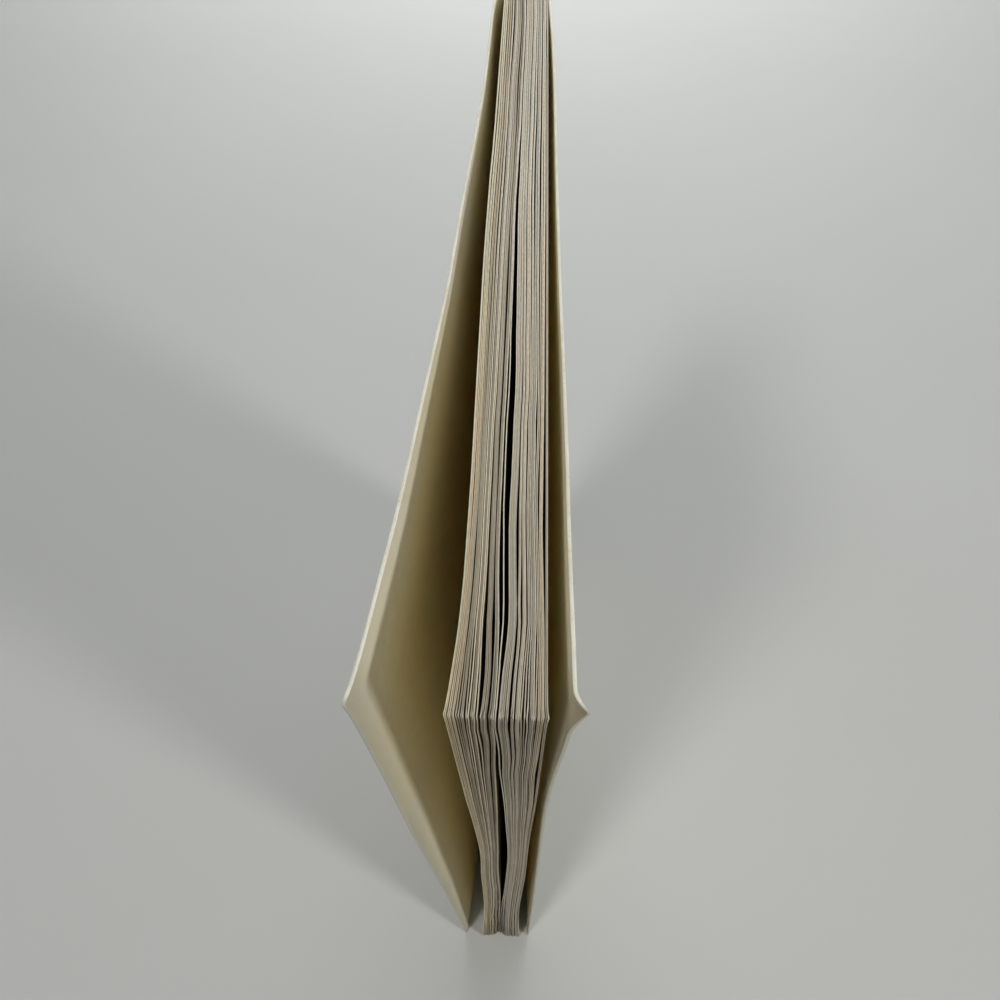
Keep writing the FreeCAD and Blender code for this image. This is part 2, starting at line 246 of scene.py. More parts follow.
# ----------------------------------------------------------------------------------------
# Materials
# ----------------------------------------------------------------------------------------
class Nodes:
    """Short names for building a node tree."""

    def __init__(self, name):
        self.mat = bpy.data.materials.new(name)
        self.mat.use_nodes = True
        self.tree = self.mat.node_tree
        self.shader = self.tree.nodes["Principled BSDF"]
        self.place = self.new("ShaderNodeTexCoord").outputs["Object"]

    def new(self, kind, **props):
        node = self.tree.nodes.new(kind)
        for k, v in props.items():
            setattr(node, k, v)
        return node

    def link(self, a, b):
        self.tree.links.new(a, b)

    def scaled(self, sx, sy, sz, shift=(0, 0, 0)):
        m = self.new("ShaderNodeMapping")
        m.inputs["Scale"].default_value = (sx, sy, sz)
        m.inputs["Location"].default_value = shift
        self.link(self.place, m.inputs["Vector"])
        return m.outputs["Vector"]

    def noise(self, vector, detail=4.0, rough=0.55):
        n = self.new("ShaderNodeTexNoise")
        n.inputs["Scale"].default_value = 1.0
        n.inputs["Detail"].default_value = detail
        n.inputs["Roughness"].default_value = rough
        self.link(vector, n.inputs["Vector"])
        return n.outputs["Fac"]

    def remap(self, value, a, b, c, d):
        n = self.new("ShaderNodeMapRange")
        n.interpolation_type = "SMOOTHSTEP"
        n.clamp = True
        self.link(value, n.inputs["Value"])
        for key, x in zip(("From Min", "From Max", "To Min", "To Max"), (a, b, c, d)):
            n.inputs[key].default_value = x
        return n.outputs["Result"]

    def math(self, op, a, b=None):
        n = self.new("ShaderNodeMath", operation=op)
        for k, x in enumerate((a, b)):
            if x is None:
                continue
            if isinstance(x, (int, float)):
                n.inputs[k].default_value = x
            else:
                self.link(x, n.inputs[k])
        return n.outputs[0]

    def mix(self, factor, a, b, blend="MIX"):
        n = self.new("ShaderNodeMix", data_type="RGBA", blend_type=blend)
        for key, x in ((0, factor), (6, a), (7, b)):
            if isinstance(x, (int, float)):
                n.inputs[key].default_value = x
            elif isinstance(x, tuple):
                n.inputs[key].default_value = (*x, 1.0)
            else:
                self.link(x, n.inputs[key])
        return n.outputs[2]

    def axis(self, which):
        s = self.new("ShaderNodeSeparateXYZ")
        self.link(self.place, s.inputs[0])
        return s.outputs[which]

    def attribute(self, name):
        n = self.new("ShaderNodeAttribute", attribute_name=name)
        return n.outputs["Fac"]

    def bump(self, height, distance, strength=1.0, under=None):
        n = self.new("ShaderNodeBump")
        n.inputs["Distance"].default_value = distance
        n.inputs["Strength"].default_value = strength
        self.link(height, n.inputs["Height"])
        if under is not None:
            self.link(under, n.inputs["Normal"])
        return n.outputs["Normal"]

    def finish(self, colour, normal=None, rough=None, roughness=0.85, specular=0.25, through=0.0):
        s = self.shader
        s.inputs["Subsurface Weight"].default_value = through
        s.inputs["Subsurface Radius"].default_value = (0.9, 0.72, 0.32)
        s.inputs["Subsurface Scale"].default_value = 0.0006
        self.link(colour, s.inputs["Base Color"])
        if normal is not None:
            self.link(normal, s.inputs["Normal"])
        s.inputs["Roughness"].default_value = roughness
        if rough is not None:
            self.link(rough, s.inputs["Roughness"])
        s.inputs["Specular IOR Level"].default_value = specular
        return self.mat


def paper_edge():
    n = Nodes("paper_cut_edge")
    x, y, z = n.axis(0), n.axis(1), n.axis(2)
    # yellower at the front leaves, greyer in the middle, faintly pink at the back ones
    left = n.remap(x, -0.0037, -0.0006, 1.0, 0.0)
    right = n.remap(x, 0.0002, 0.0030, 0.0, 1.0)
    tint = n.mix(left, (0.57, 0.535, 0.44), (0.655, 0.55, 0.375))
    tint = n.mix(right, tint, (0.68, 0.615, 0.49))
    # each leaf takes its own shade
    shade = n.mix(n.attribute("tone"), (0.58, 0.57, 0.56), (1.62, 1.61, 1.57))
    tint = n.mix(1.0, tint, shade, "MULTIPLY")
    # painted light: the head edges are brightened towards the spine, standing for the stronger light that falls on the
    # far end of the head
    far_head_light = n.remap(y, -0.050, 0.015, 0.0, 1.0)
    tint = n.mix(far_head_light, tint, n.mix(1.0, tint, (1.42, 1.42, 1.45), "MULTIPLY"))
    tint = n.mix(1.0, tint, (0.89, 0.86, 0.77), "DARKEN")
    hue = n.noise(n.scaled(3100, 4, 4, (2, 2, 2)), 1.0)
    tint = n.mix(1.0, tint, n.mix(n.remap(hue, 0.38, 0.62, 0.0, 1.0), (0.98, 1.0, 1.02), (1.04, 0.99, 0.93)), "MULTIPLY")
    # painted shade, partly thumbing: the fore-edge and, less, the head near the corner are greyed, standing for the
    # shade on these faces as well as for handling
    thumbing_and_shade = n.math("MAXIMUM", n.remap(z, 0.1765, 0.1779, 1.0, 0.0), n.remap(y, -0.055, -0.005, 0.62, 0.0))
    on_fore = n.remap(y, -0.0549, -0.0540, 1.0, 0.0)
    thumbing_and_shade = n.math("MULTIPLY", thumbing_and_shade, n.math("MAXIMUM", on_fore, n.remap(y, -0.055, 0.02, 1.0, 0.0)))
    tint = n.mix(thumbing_and_shade, tint, n.mix(1.0, tint, (0.66, 0.655, 0.66), "MULTIPLY"))
    # painted light: the lower part of the fore-edge is brightened, standing for the stronger light it gets there
    low = n.math("MULTIPLY", on_fore, n.remap(z, 0.055, 0.135, 1.0, 0.0))
    tint = n.mix(low, tint, n.mix(1.0, tint, (1.36, 1.37, 1.41), "MULTIPLY"))
    # painted shade: the fore-edge is darkened just below the head
    fore_top_shade = n.math("MULTIPLY", on_fore, n.remap(z, 0.150, 0.174, 0.0, 0.9))
    tint = n.mix(fore_top_shade, tint, n.mix(1.0, tint, (0.78, 0.775, 0.77), "MULTIPLY"))
    # cut fibres: fine specks, and slower patches along the leaf
    streak = n.noise(n.scaled(9000, 1500, 1500), 3.0)
    tint = n.mix(n.remap(streak, 0.36, 0.64, 0.0, 0.24), tint, (0.22, 0.18, 0.12))
    patch = n.noise(n.scaled(2600, 110, 110, (3, 7, 1)), 3.0)
    tint = n.mix(n.remap(patch, 0.42, 0.68, 0.0, 0.20), tint, (0.78, 0.72, 0.58))
    # the tips at the head corner are rubbed to pale fluff
    tip = n.math("MULTIPLY", n.remap(y, -0.0550, -0.05435, 1.0, 0.0), n.remap(z, 0.17735, 0.1780, 0.0, 1.0))
    tint = n.mix(n.math("MULTIPLY", tip, 0.58), tint, (0.80, 0.75, 0.64))
    fibre = n.noise(n.scaled(16000, 16000, 16000), 2.0)
    normal = n.bump(fibre, 0.00002, 0.8)
    return n.finish(tint, normal, roughness=0.93, specular=0.15)


def paper_face():
    n = Nodes("paper_leaf_face")
    y, z = n.axis(1), n.axis(2)
    # painted shade and light: the outer leaf faces are a deeper, warmer yellow away from their trimmed edges, for the
    # warm shade in the gap beside the covers, and paler near the edges where light reaches
    fore = n.remap(y, -0.055, -0.047, 1.0, 0.0)
    head = n.remap(z, 0.170, 0.178, 0.0, 1.0)
    tail = n.remap(z, 0.0, 0.008, 1.0, 0.0)
    rim = n.math("MAXIMUM", n.math("MAXIMUM", fore, head), tail)
    cloud = n.noise(n.scaled(60, 60, 60), 4.0)
    rim = n.math("MULTIPLY", rim, n.remap(cloud, 0.3, 0.7, 0.5, 1.0))
    tint = n.mix(rim, (0.75, 0.65, 0.40), (0.73, 0.68, 0.54))
    formation = n.noise(n.scaled(900, 900, 900), 4.0)
    tint = n.mix(n.remap(formation, 0.35, 0.65, 0.0, 0.16), tint, (0.60, 0.54, 0.40))
    fleck = n.noise(n.scaled(3800, 3800, 3800, (5, 2, 8)), 2.0)
    tint = n.mix(n.remap(fleck, 0.66, 0.74, 0.0, 0.35), tint, (0.42, 0.34, 0.20))
    normal = n.bump(n.noise(n.scaled(7000, 7000, 7000), 3.0), 0.000012, 0.7)
    return n.finish(tint, normal, roughness=0.9, specular=0.2)


def paper_between():
    """The faces that lie leaf on leaf: the same paper, painted dark brown for the shade between neighbouring leaves."""
    n = Nodes("paper_leaf_painted_shade")
    formation = n.noise(n.scaled(900, 900, 900), 4.0)
    tint = n.mix(n.remap(formation, 0.35, 0.65, 0.0, 1.0), (0.27, 0.225, 0.14), (0.33, 0.28, 0.18))
    normal = n.bump(n.noise(n.scaled(7000, 7000, 7000), 3.0), 0.000012, 0.7)
    return n.finish(tint, normal, roughness=0.95, specular=0.1)


def card_inside():
    n = Nodes("card_inner_face")
    y, z = n.axis(1), n.axis(2)
    # painted shade and light: the inner face is a deeper, warmer yellow away from its edges, for the warm shade between
    # cover and block, and paler along the head, fore-edge and tail, where light reaches
    fore = n.remap(y, -0.055, -0.043, 1.0, 0.0)
    head = n.remap(z, 0.158, 0.178, 0.0, 1.0)
    tail = n.remap(z, 0.0, 0.010, 1.0, 0.0)
    rim = n.math("MAXIMUM", n.math("MAXIMUM", fore, head), tail)
    cloud = n.noise(n.scaled(45, 45, 45, (1, 1, 4)), 4.0)
    rim = n.math("MULTIPLY", rim, n.remap(cloud, 0.3, 0.7, 0.3, 1.0))
    tint = n.mix(rim, (0.80, 0.71, 0.43), (0.82, 0.80, 0.69))
    # painted shade, partly thumbing: the last few millimetres before the fore-edge are greyed, darker on the back
    # cover, standing for less light on this strip as well as for handling
    held_and_shaded = n.math("MULTIPLY", n.remap(y, -0.0550, -0.0495, 1.0, 0.0), n.remap(cloud, 0.3, 0.7, 0.8, 1.0))
    grey = n.mix(n.remap(n.axis(0), 0.0, 0.003, 0.0, 1.0), (0.43, 0.415, 0.335), (0.30, 0.27, 0.19))
    tint = n.mix(held_and_shaded, tint, grey)
    formation = n.noise(n.scaled(700, 700, 700), 5.0, 0.6)
    tint = n.mix(n.remap(formation, 0.35, 0.65, 0.0, 0.12), tint, (0.58, 0.50, 0.30))
    fleck = n.noise(n.scaled(3200, 3200, 3200, (2, 6, 3)), 2.0)
    tint = n.mix(n.remap(fleck, 0.67, 0.75, 0.0, 0.30), tint, (0.40, 0.31, 0.16))
    smudge = n.noise(n.scaled(28, 28, 28, (9, 4, 2)), 3.0)
    tint = n.mix(n.remap(smudge, 0.55, 0.75, 0.0, 0.10), tint, (0.50, 0.44, 0.30))
    normal = n.bump(n.noise(n.scaled(5200, 5200, 5200), 3.0), 0.000014, 0.6)
    return n.finish(tint, normal, roughness=0.86, specular=0.25, through=0.4)


def card_outside():
    n = Nodes("card_outer_face")
    y, z = n.axis(1), n.axis(2)
    x = n.axis(0)
    ground = n.noise(n.scaled(38, 38, 38, (4, 9, 6)), 4.0)
    tint = n.mix(n.remap(ground, 0.3, 0.7, 0.0, 1.0), (0.70, 0.665, 0.56), (0.745, 0.715, 0.62))
    formation = n.noise(n.scaled(820, 820, 820), 4.0)
    tint = n.mix(n.remap(formation, 0.35, 0.65, 0.0, 0.10), tint, (0.55, 0.51, 0.40))
    # handling: darker towards the fore-edge where the hand holds it, and rubbed edges at the head, tail and fore-edge
    fore = n.remap(y, -0.055, -0.030, 1.0, 0.0)
    grime = n.math("MULTIPLY", fore, n.remap(n.noise(n.scaled(90, 90, 90), 4.0), 0.42, 0.70, 0.0, 0.28))
    tint = n.mix(grime, tint, (0.47, 0.41, 0.30))
    head = n.remap(z, 0.1762, 0.178, 0.0, 1.0)
    tail = n.remap(z, 0.0, 0.0018, 1.0, 0.0)
    rim = n.math("MAXIMUM", n.math("MAXIMUM", head, tail), n.remap(y, -0.055, -0.0532, 1.0, 0.0))
    rubbed = n.math("MULTIPLY", rim, n.remap(n.noise(n.scaled(420, 420, 420), 4.0), 0.40, 0.62, 0.0, 0.8))
    tint = n.mix(rubbed, tint, (0.83, 0.80, 0.70))
    # thin scuffs
    scuff = n.noise(n.scaled(160, 160, 1900, (3, 3, 3)), 2.0)
    tint = n.mix(n.remap(scuff, 0.68, 0.74, 0.0, 0.25), tint, (0.84, 0.82, 0.75))
    normal = n.bump(n.noise(n.scaled(4300, 4300, 4300), 3.0), 0.000008, 0.5)
    rough = n.remap(n.noise(n.scaled(130, 130, 130, (7, 7, 7)), 4.0), 0.3, 0.7, 0.50, 0.66)
    return n.finish(tint, normal, rough=rough, specular=0.4, through=0.4)


def card_edge():
    n = Nodes("card_cut_edge")
    patch = n.noise(n.scaled(1200, 350, 350), 4.0)
    tint = n.mix(n.remap(patch, 0.35, 0.65, 0.0, 1.0), (0.80, 0.77, 0.63), (0.90, 0.88, 0.77))
    fleck = n.noise(n.scaled(9000, 2500, 2500), 3.0)
    tint = n.mix(n.remap(fleck, 0.55, 0.72, 0.0, 0.45), tint, (0.48, 0.42, 0.30))
    # painted shade, partly handling: the fore-edge cut is greyed, standing for the shade on this front-facing cut as
    # well as for wear
    held_and_shaded = n.remap(n.axis(1), -0.0544, -0.0536, 1.0, 0.0)
    tint = n.mix(n.math("MULTIPLY", held_and_shaded, 0.85), tint, (0.46, 0.445, 0.385))
    normal = n.bump(n.noise(n.scaled(12000, 12000, 12000), 2.0), 0.00002, 0.8)
    return n.finish(tint, normal, roughness=0.92, specular=0.15)


def glue_material():
    n = Nodes("binding_glue")
    patch = n.noise(n.scaled(900, 900, 300), 4.0)
    tint = n.mix(n.remap(patch, 0.3, 0.7, 0.0, 1.0), (0.80, 0.74, 0.58), (0.88, 0.84, 0.72))
    normal = n.bump(n.noise(n.scaled(2600, 2600, 2600), 3.0), 0.00004, 0.8)
    mat = n.finish(tint, normal, roughness=0.42, specular=0.5)
    return mat


def floor_material():
    n = Nodes("pale_floor")
    cloud = n.noise(n.scaled(3.5, 3.5, 3.5), 4.0)
    tint = n.mix(n.remap(cloud, 0.3, 0.7, 0.0, 1.0), (0.548, 0.554, 0.538), (0.568, 0.575, 0.561))
    fine = n.noise(n.scaled(420, 420, 420), 3.0)
    tint = n.mix(n.remap(fine, 0.35, 0.65, 0.0, 0.04), tint, (0.55, 0.55, 0.55))
    return n.finish(tint, roughness=0.75, specular=0.2)


EDGE, FACE, BETWEEN = paper_edge(), paper_face(), paper_between()
INSIDE, OUTSIDE, CUT = card_inside(), card_outside(), card_edge()
GLUE_MAT, FLOOR_MAT = glue_material(), floor_material()

# ----------------------------------------------------------------------------------------
# Leaves: each one a sheet of its own
# ----------------------------------------------------------------------------------------
LEAVES, SHEET = 48, 0.086

# Partings between leaves: number of the gap, its width in mm along the head (against mm in
# from the fore-edge) and along the fore-edge (against mm down from the head).
PARTINGS = [
    (3, [(0, .03), (2, .03), (12, .03), (15, .06), (18, .08), (24, .04), (31, .04), (60, 0)],
        [(0, .03), (3, .03), (8, .07), (14, .03), (178, 0)]),
    (7, [(0, .05), (1, .08), (2, .09), (4, .06), (7, .10), (11, .11), (13, .12), (16, .04), (30, .04), (38, .03),
         (70, 0)],
        [(0, .05), (1, .08), (5, .09), (9, .08), (14, .03), (178, 0)]),
    (11, [(0, .04), (1, .08), (2, .09), (4, .11), (7, .07), (10, .06), (15, .05), (30, .06), (38, .04), (60, 0)],
         [(0, .04), (1, .07), (3, .08), (9, .13), (12, .10), (15, .04), (22, .02), (178, 0)]),
    (15, [(0, .05), (1, .08), (3, .06), (5, .03), (20, .03), (60, 0)],
         [(0, .05), (1, .09), (3, .13), (5, .17), (7, .24), (10, .22), (13, .15), (17, .10), (21, .09), (25, .06),
          (32, .02), (110, .02), (140, .08), (178, .12)]),
    (16, [(0, .12), (1, .20), (2, .25), (4.5, .29), (7, .27), (10, .19), (13, .13), (17, .13), (22, .09), (28, .06),
          (60, 0)],
         [(0, .12), (3, .14), (5, .18), (7, .12), (10, .07), (14, .02), (90, .02), (110, .16), (140, .22), (178, .24)]),
    (20, [(0, .04), (3, .06), (4.5, .11), (6.6, .22), (8.2, .16), (11, .08), (16, .05), (25, .09), (30, .04), (60, 0)],
         [(0, .04), (2, .10), (3, .18), (5, .13), (8, .10), (13, .06), (18, .03), (100, .02), (130, .10), (178, .12)]),
    (23, [(0, .03), (3, .06), (5, .12), (7, .25), (10, .33), (14, .28), (18, .18), (24, .15), (31, .16), (37, .04),
          (60, 0)],
         [(0, .03), (3, .05), (5, .10), (7, .18), (9, .24), (14, .32), (18, .44), (22.6, .58), (28, .68), (36, .88),
          (46, 1.10), (56, 1.22), (64, 1.18), (72, 1.0), (78, .88), (86, .66), (92, .52), (98, .40), (110, .28),
          (178, .20)]),
    (24, [(0, .05), (1, .08), (2, .10), (3.5, .15), (4.5, .25), (7, .33), (10, .36), (14, .36), (18, .48), (25, .50),
          (31, .46), (38, .40), (45, .30), (53, .23), (62, .17), (72, .08), (85, .04), (110, .02)],
         [(0, .05), (3, .10), (7, .12), (9, .15), (12, .14), (14, .06), (20, .02), (90, .02), (104, .14), (140, .12),
          (178, .10)]),
    (27, [(0, .02), (60, 0)],
         [(0, .02), (90, .02), (104, .10), (130, .16), (178, .16)]),
    (30, [(0, .10), (1.5, .15), (3, .15), (6, .15), (8.5, .09), (10.5, .17), (14, .23), (18, .17), (22, .09), (30, .06),
          (60, 0)],
         [(0, .10), (1, .18), (3, .24), (5, .17), (9, .13), (12, .06), (20, .02), (178, 0)]),
    (32, [(0, .03), (2, .05), (5, .07), (7, .13), (9, .15), (12, .08), (16, .04), (60, 0)],
         [(0, .03), (3, .09), (7, .12), (10, .06), (30, .02), (178, 0)]),
    (35, [(0, .04), (2, .07), (4, .06), (8, .12), (12, .10), (18, .09), (22, .12), (28, .06), (60, 0)],
         [(0, .04), (3, .14), (5, .07), (12, .07), (16, .03), (40, .03), (178, 0)]),
    (37, [(0, .06), (1, .11), (2, .11), (4, .08), (8, .05), (60, 0)],
         [(0, .06), (3, .15), (5, .12), (8, .05), (178, 0)]),
    (41, [(0, .03), (3, .08), (5, .10), (7, .05), (20, .05), (25, .16), (30, .05), (60, 0)],
         [(0, .03), (10, .05), (20, .02), (178, 0)]),
    (43, [(0, .02), (13, .05), (15, .10), (18, .17), (22, .09), (27, .06), (31, .07), (40, .08), (50, .04), (80, 0)],
         [(0, .02), (8, .05), (30, .02), (178, 0)]),
    (46, [(0, .03), (5, .04), (8, .10), (11, .17), (15, .24), (19, .20), (24, .14), (31, .08), (40, .07), (60, .03),
          (80, 0)],
         [(0, .03), (3, .06), (6, .12), (9, .13), (12, .17), (15, .19), (18, .13), (22, .09), (27, .02), (178, 0)]),
]

IN = np.array([0, .12, .26, .42, .62, .86, 1.2, 1.7, 2.4, 3.2, 4.2, 5.4, 6.8, 8.4, 10.2, 12.2, 14.4, 16.8, 19.4,
               22.2, 25.2, 28.4, 31.8, 35.4, 39.2, 43.2, 47.4, 51.8, 56.4, 61.2, 66.2, 71.4, 76.8, 82.4, 88.2, 94.2,
               100, 105, 107.6, 109.32])
DOWN = np.array([0, .12, .26, .42, .62, .86, 1.2, 1.7, 2.4, 3.2, 4.4, 5.8, 7.4, 9.2, 11.4, 14, 17, 20.5, 24.5, 29,
                 34, 39.5, 45.5, 51.5, 57, 62, 67, 72, 77.5, 84, 92, 102, 114, 128, 143, 158, 169, 175, 177.4, 178])

grid_in, grid_down = np.meshgrid(IN, DOWN, indexing="ij")
grid_y, grid_z = FORE + grid_in, HEIGHT - grid_down
left_side, right_side = block_left(grid_y, grid_z), block_right(grid_y, grid_z)

major = np.zeros((LEAVES + 1, *grid_in.shape))
for number, along_head, along_fore in PARTINGS:
    h_line = smooth(along_head, grid_in)
    f_line = smooth(along_fore, grid_down)
    if number not in (16, 23, 24):
        f_line = f_line * (1 - 0.35 * np.exp(-((grid_down - 6) / 7.0) ** 2))
    near_head = np.exp(-(grid_down / 32.0) ** 2)
    near_fore = np.exp(-(grid_in / 16.0) ** 2)
    at_corner = along_head[0][1]
    major[number] = np.maximum(0, h_line * near_head + f_line * near_fore - at_corner * near_head * near_fore)
room = right_side - left_side - LEAVES * SHEET
major *= np.minimum(1.0, 0.82 * room / np.maximum(major.sum(0), 1e-6))

rng = np.random.default_rng(52)
minor = np.zeros_like(major)
for k in range(1, LEAVES):
    strength = (0.12 if k % 2 else 1.0) * math.exp(rng.normal(0, 0.75)) + 0.05
    drift = 1 + 0.65 * waves(1000 + k, grid_y, grid_z, 42, 3)
    minor[k] = strength * np.maximum(0.05, drift)
minor *= (room - major.sum(0)) / minor.sum(0)
gaps = np.cumsum(major + minor, axis=0)

# leaves lie in small packs of like tone and height
TONES, STEPS = np.zeros(LEAVES), np.zeros(LEAVES)
pack_tone, pack_step = 0.5, 0.04
for k in range(LEAVES):
    if k % 2 == 0 and rng.uniform() < 0.45:
        pack_tone, pack_step = rng.uniform(0.15, 0.9), rng.uniform(0.01, 0.16)
    TONES[k] = np.clip(pack_tone + rng.normal(0, 0.20), 0, 1)
    STEPS[k] = np.clip(pack_step + rng.normal(0, 0.02), 0.0, 0.22)


def corner(inward, down, radius):
    """Rounds the sheet's corner at the origin of inward and down."""
    p = np.clip((radius - inward) / radius, 0, 1)
    q = np.clip((radius - down) / radius, 0, 1)
    both = (p > 0) & (q > 0)
    pp = p * np.sqrt(1 - q * q / 2)
    qq = q * np.sqrt(1 - p * p / 2)
    return np.where(both, radius * (1 - pp), inward), np.where(both, radius * (1 - qq), down)


def leaf(index):
    inward, down = grid_in.copy(), grid_down.copy()
    inward, down = corner(inward, down, rng.uniform(0.28, 1.0))
    inward, up = corner(inward, HEIGHT - down, rng.uniform(0.2, 0.6))
    down = HEIGHT - up
    # the trimmed edges are never quite level: small steps between leaves, but the tips at
    # the head corner are turned up into a burr
    head_step = STEPS[index] * (1 - np.exp(-grid_in / 0.45)) + 0.012 * (index % 2)
    fore_step = (0.6 * STEPS[(index * 5) % LEAVES] + 0.4 * STEPS[index]) * (1 - np.exp(-grid_down / 0.45))
    middle = math.exp(-((index - 21.5) / 4.5) ** 2)
    fore_step = fore_step + 0.9 * middle * np.clip((down - 92) / 60, 0, 1) ** 1.2
    wobble = 0.02 * waves(300 + index, grid_y, grid_z * 0.02, 7, 3) * (grid_down < 0.2)
    rough = 0.02 * waves(600 + index, grid_y * 0.02, grid_z, 7, 3) * (grid_in < 0.2)
    y = FORE + inward + (fore_step + np.maximum(0, rough)) * np.clip(1 - inward / 30, 0, 1)
    z = HEIGHT - down - (head_step + np.maximum(0, wobble)) * np.clip(1 - down / 30, 0, 1)
    z = np.maximum(z, 0.02 + 0.05 * (index % 3))
    # the tips splay a little, and are knocked to one side
    at_tip = np.exp(-(grid_in + grid_down) / 0.5)
    knock = (0.17 * (index / (LEAVES - 1.0) - 0.5) + 0.03 * math.sin(index * 0.83)) * at_tip
    x = left_side + index * SHEET + gaps[index] + knock
    left = np.stack([x, y, z], -1)
    right = np.stack([x + SHEET, y, z], -1)
    return left, right


PACKETS = 4
per = LEAVES // PACKETS
fray = np.random.default_rng(8).uniform(0, 0.012, 991)
for packet in range(PACKETS):
    sheets = Sheets()
    for index in range(packet * per, (packet + 1) * per):
        left, right = leaf(index)
        sides = (0 if index == 0 else 2, 0 if index == LEAVES - 1 else 2)
        sheets.add(left, right, side_mats=sides, rim_mat=1, value=float(TONES[index]), chamfer=0.016,
                   rim_noise=fray)
    piece = sheets.build("leaves_%d" % (packet + 1), [FACE, EDGE, BETWEEN])
    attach(piece, "book_block")
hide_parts("page_block")

# ----------------------------------------------------------------------------------------
# Cover card
# ----------------------------------------------------------------------------------------
NEAR = [0, .1, .2, .32, .46, .62, .8, 1.0, 1.22, 1.48, 1.8, 2.2, 2.7, 3.3, 4.0, 4.8, 5.8, 7.0, 8.4, 10.0]
card_in = np.concatenate([NEAR, np.linspace(12, 94, 36), 109.5 - np.array(
    [14, 12.4, 10.8, 9.4, 8.2, 7.1, 6.1, 5.2, 4.4, 3.7, 3.0, 2.4, 1.8, 1.3, .9, .6, .35, .15, 0])])
card_down = np.concatenate([NEAR, np.linspace(12, 166, 66), HEIGHT - np.array(NEAR[::-1])])


def cover_sheet(sign, outward, seed, corner_round, curl):
    """Outer and inner face of one cover; rows run from the fore-edge to the fold."""
    inward, down = np.meshgrid(card_in, card_down, indexing="ij")
    tip = curl * np.exp(-(inward + down) / 1.1)
    inward, down = corner(inward, down, corner_round)
    inward, up = corner(inward, HEIGHT - down, 0.7)
    y, z = COVER_FORE + inward, up
    out = outward(y, z) + tip
    step = 0.05
    ya, yb = np.maximum(COVER_FORE, y - step), np.minimum(BACK, y + step)
    dx, dy = sign * (outward(yb, z) - outward(ya, z)), yb - ya
    za, zb = np.maximum(0, z - step), np.minimum(HEIGHT, z + step)
    gx, gz = sign * (outward(y, zb) - outward(y, za)), zb - za
    normal = np.stack([np.full_like(y, -1.0), dx / dy, gx / gz], -1) * sign
    normal /= np.linalg.norm(normal, axis=-1)[..., None]
    outer = np.stack([sign * (FOLD_X + out), y, z], -1)
    free = np.clip((BACK - y - 4) / 12, 0, 1)
    ripple = 0.05 * waves(seed, y, z, 34, 3) * free + 0.012 * waves(seed + 1, y, z, 5, 2) * free
    outer[..., 0] -= sign * np.maximum(ripple, 0)
    normal[..., 1] *= np.clip(inward / 1.4, 0, 1)
    inner = outer + normal * CARD
    inner[..., 1] = np.clip(inner[..., 1], COVER_FORE, BACK)
    inner[..., 2] = z
    return outer, inner


def cover_piece(name, sign, outward, seed, node, body, corner_round, curl):
    outer, inner = cover_sheet(sign, outward, seed, corner_round, curl)
    noise = np.random.default_rng(seed + 5).uniform(0, 1, 997)
    noise = 0.03 * noise + 0.05 * np.convolve(noise, np.ones(5) / 5, "same") ** 3
    sheets = Sheets()
    if sign < 0:
        sheets.add(outer, inner, side_mats=(1, 0), rim_mat=2, chamfer=0.075, rim_noise=noise)
    else:
        sheets.add(inner, outer, side_mats=(0, 1), rim_mat=2, chamfer=0.075, rim_noise=noise)
    piece = sheets.build(name, [INSIDE, OUTSIDE, CUT])
    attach(piece, body)
    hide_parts(node)
    return piece


front = cover_piece("front_card", -1.0, front_out, 71, "front_cover", "front_cover", 0.55, 0.22)
back = cover_piece("back_card", 1.0, back_out, 83, "back_cover", "back_cover", 0.3, 0.0)

# ----------------------------------------------------------------------------------------
# Spine: glue and card
# ----------------------------------------------------------------------------------------
def upright_strip(name, xs, y_low, y_high, zs, mats, materials, bulge=0.0, seed=0, rough_ends=0.0, chamfer=0.03):
    """A strip across x; its two faces look to -Y and +Y."""
    x, z = np.meshgrid(xs, zs, indexing="ij")
    half = xs[-1]
    near = np.stack([x, np.full_like(x, y_low), z], -1)
    far = np.stack([x, np.full_like(x, y_high), z], -1)
    far[..., 1] -= bulge * (x / half) ** 2 + 0.01 * np.maximum(0, waves(seed, x * 6, z, 30, 3))
    if rough_ends:
        r = np.random.default_rng(seed)
        dip = r.uniform(0.03, rough_ends, len(xs))
        near[:, 0, 2] -= dip
        far[:, 0, 2] -= dip * 0.6
        near[:, -1, 2] += dip
        far[:, -1, 2] += dip * 0.6
    sheets = Sheets()
    # Sheets expects i along +Y and j along -Z with left facing -X; here i runs along +X and
    # the near face looks to -Y, which is the same handedness turned a quarter.
    sheets.add(far, near, side_mats=(mats[1], mats[0]), rim_mat=mats[2], chamfer=chamfer)
    return sheets.build(name, materials)


xs_glue = np.linspace(-BLOCK / 2 + 0.05, BLOCK / 2 - 0.05, 40)
zs_strip = np.concatenate([[178.0, 177.9, 177.6], np.linspace(177, 1, 90), [0.4, 0.1, 0.0]])
glue = upright_strip("binding_glue", xs_glue, LEAF_END, BACK - CARD, zs_strip, (0, 0, 0), [GLUE_MAT], seed=5,
                     rough_ends=0.28)
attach(glue, "book_block")
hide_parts("spine_glue")

xs_spine = np.concatenate([[-3.2, -3.12, -3.0], np.linspace(-2.8, 2.8, 26), [3.0, 3.12, 3.2]])
spine = upright_strip("spine_card", xs_spine, BACK - CARD, BACK, zs_strip, (0, 1, 2), [INSIDE, OUTSIDE, CUT],
                      bulge=0.05, seed=9, chamfer=0.04)
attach(spine, "book_block")
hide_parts("spine_panel")

# ----------------------------------------------------------------------------------------
# Floor, light and camera
# ----------------------------------------------------------------------------------------
bpy.ops.mesh.primitive_plane_add(size=8.0, location=(0, 0, -0.00004))
floor = bpy.context.object
floor.name = "floor"
floor.data.materials.append(FLOOR_MAT)


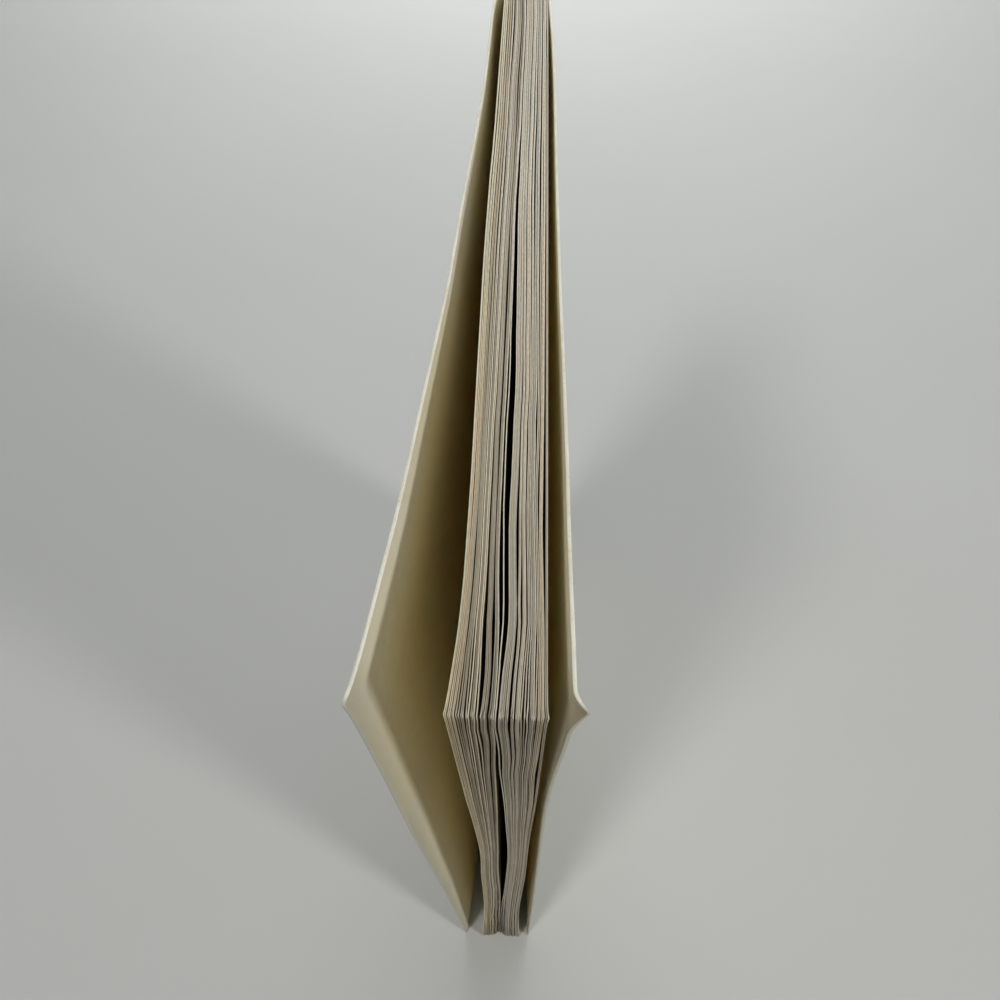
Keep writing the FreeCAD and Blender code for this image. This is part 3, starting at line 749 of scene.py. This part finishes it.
def area_light(name, azimuth, elevation, distance, size, power, colour=(1, 1, 1), target=(0, 0, 0.08)):
    """azimuth from +X towards +Y, in degrees: where the light stands as seen from the book."""
    data = bpy.data.lights.new(name, "AREA")
    data.shape = "DISK"
    data.size = size
    data.energy = power
    data.color = colour
    lamp = bpy.data.objects.new(name, data)
    a, e = math.radians(azimuth), math.radians(elevation)
    aim = Vector(target)
    lamp.location = aim + Vector((math.cos(a) * math.cos(e), math.sin(a) * math.cos(e), math.sin(e))) * distance
    lamp.rotation_euler = (aim - lamp.location).to_track_quat("-Z", "Y").to_euler()
    lamp.visible_camera = False
    bpy.context.scene.collection.objects.link(lamp)
    return lamp


area_light("front_right", -30.5, 27, 1.3, 0.22, 6.3, (1.0, 0.985, 0.95))
area_light("front_left", -126, 50, 1.3, 0.30, 5.2, (1.0, 0.985, 0.95))
area_light("overhead", 90, 89.9, 1.40, 0.9, 2.1, (0.97, 0.99, 1.0), target=(0, 0, 0))
area_light("behind", 90, 89.9, 0.50, 0.7, 5.2, (0.97, 0.99, 1.0), target=(0, 0.85, 0))
area_light("far_overhead", 60, 62, 0.46, 0.30, 0.22, (0.97, 0.99, 1.0), target=(0, 0.03, 0.03))

world = bpy.data.worlds.new("studio")
world.use_nodes = True
tree = world.node_tree
where = tree.nodes.new("ShaderNodeTexCoord")
split = tree.nodes.new("ShaderNodeSeparateXYZ")
tree.links.new(where.outputs["Generated"], split.inputs[0])
ramp = tree.nodes.new("ShaderNodeMapRange")
ramp.interpolation_type = "SMOOTHSTEP"
ramp.inputs["From Min"].default_value = -0.7
ramp.inputs["From Max"].default_value = 0.8
ramp.inputs["To Min"].default_value = 0.025
ramp.inputs["To Max"].default_value = 0.11
tree.links.new(split.outputs[1], ramp.inputs["Value"])
background = tree.nodes["Background"]
background.inputs["Color"].default_value = (0.97, 0.99, 1.0, 1)
tree.links.new(ramp.outputs["Result"], background.inputs["Strength"])
bpy.context.scene.world = world

camera_data = bpy.data.cameras.new("camera")
camera_data.sensor_fit = "HORIZONTAL"
camera_data.sensor_width = 36.0
camera_data.lens = 26.64
camera_data.clip_start = 0.005
camera = bpy.data.objects.new("camera", camera_data)
bpy.context.scene.collection.objects.link(camera)
bpy.context.scene.camera = camera


def camera_basis(focal, nadir, yaw):
    """Right, up and back of the camera in the book's frame, from where verticals meet in the picture."""
    down = np.array([(nadir[0] - 500) / focal, (nadir[1] - 500) / focal, 1.0])
    down = unit(down)
    ahead = np.array([0, 0, 1.0])
    ahead = unit(ahead - (ahead @ down) * down)
    right = np.cross(down, ahead)
    if right[0] < 0:
        right = -right
    c, s = math.cos(yaw), math.sin(yaw)
    book_x, book_y, book_z = right * c - ahead * s, ahead * c + right * s, -down
    turn = np.array([book_x, book_y, book_z])      # rows: the book's axes in the camera's frame
    return turn[:, 0], -turn[:, 1], -turn[:, 2]


cam_right, cam_up, cam_back = camera_basis(740.0, (509.0, 1008.0), math.radians(2.96))
spot = (1.146 * MM, -70.42 * MM, 225.47 * MM)
camera.matrix_world = Matrix((
    (cam_right[0], cam_up[0], cam_back[0], spot[0]),
    (cam_right[1], cam_up[1], cam_back[1], spot[1]),
    (cam_right[2], cam_up[2], cam_back[2], spot[2]),
    (0, 0, 0, 1)))

scene = bpy.context.scene
scene.view_settings.view_transform = "Standard"
scene.view_settings.look = "None"
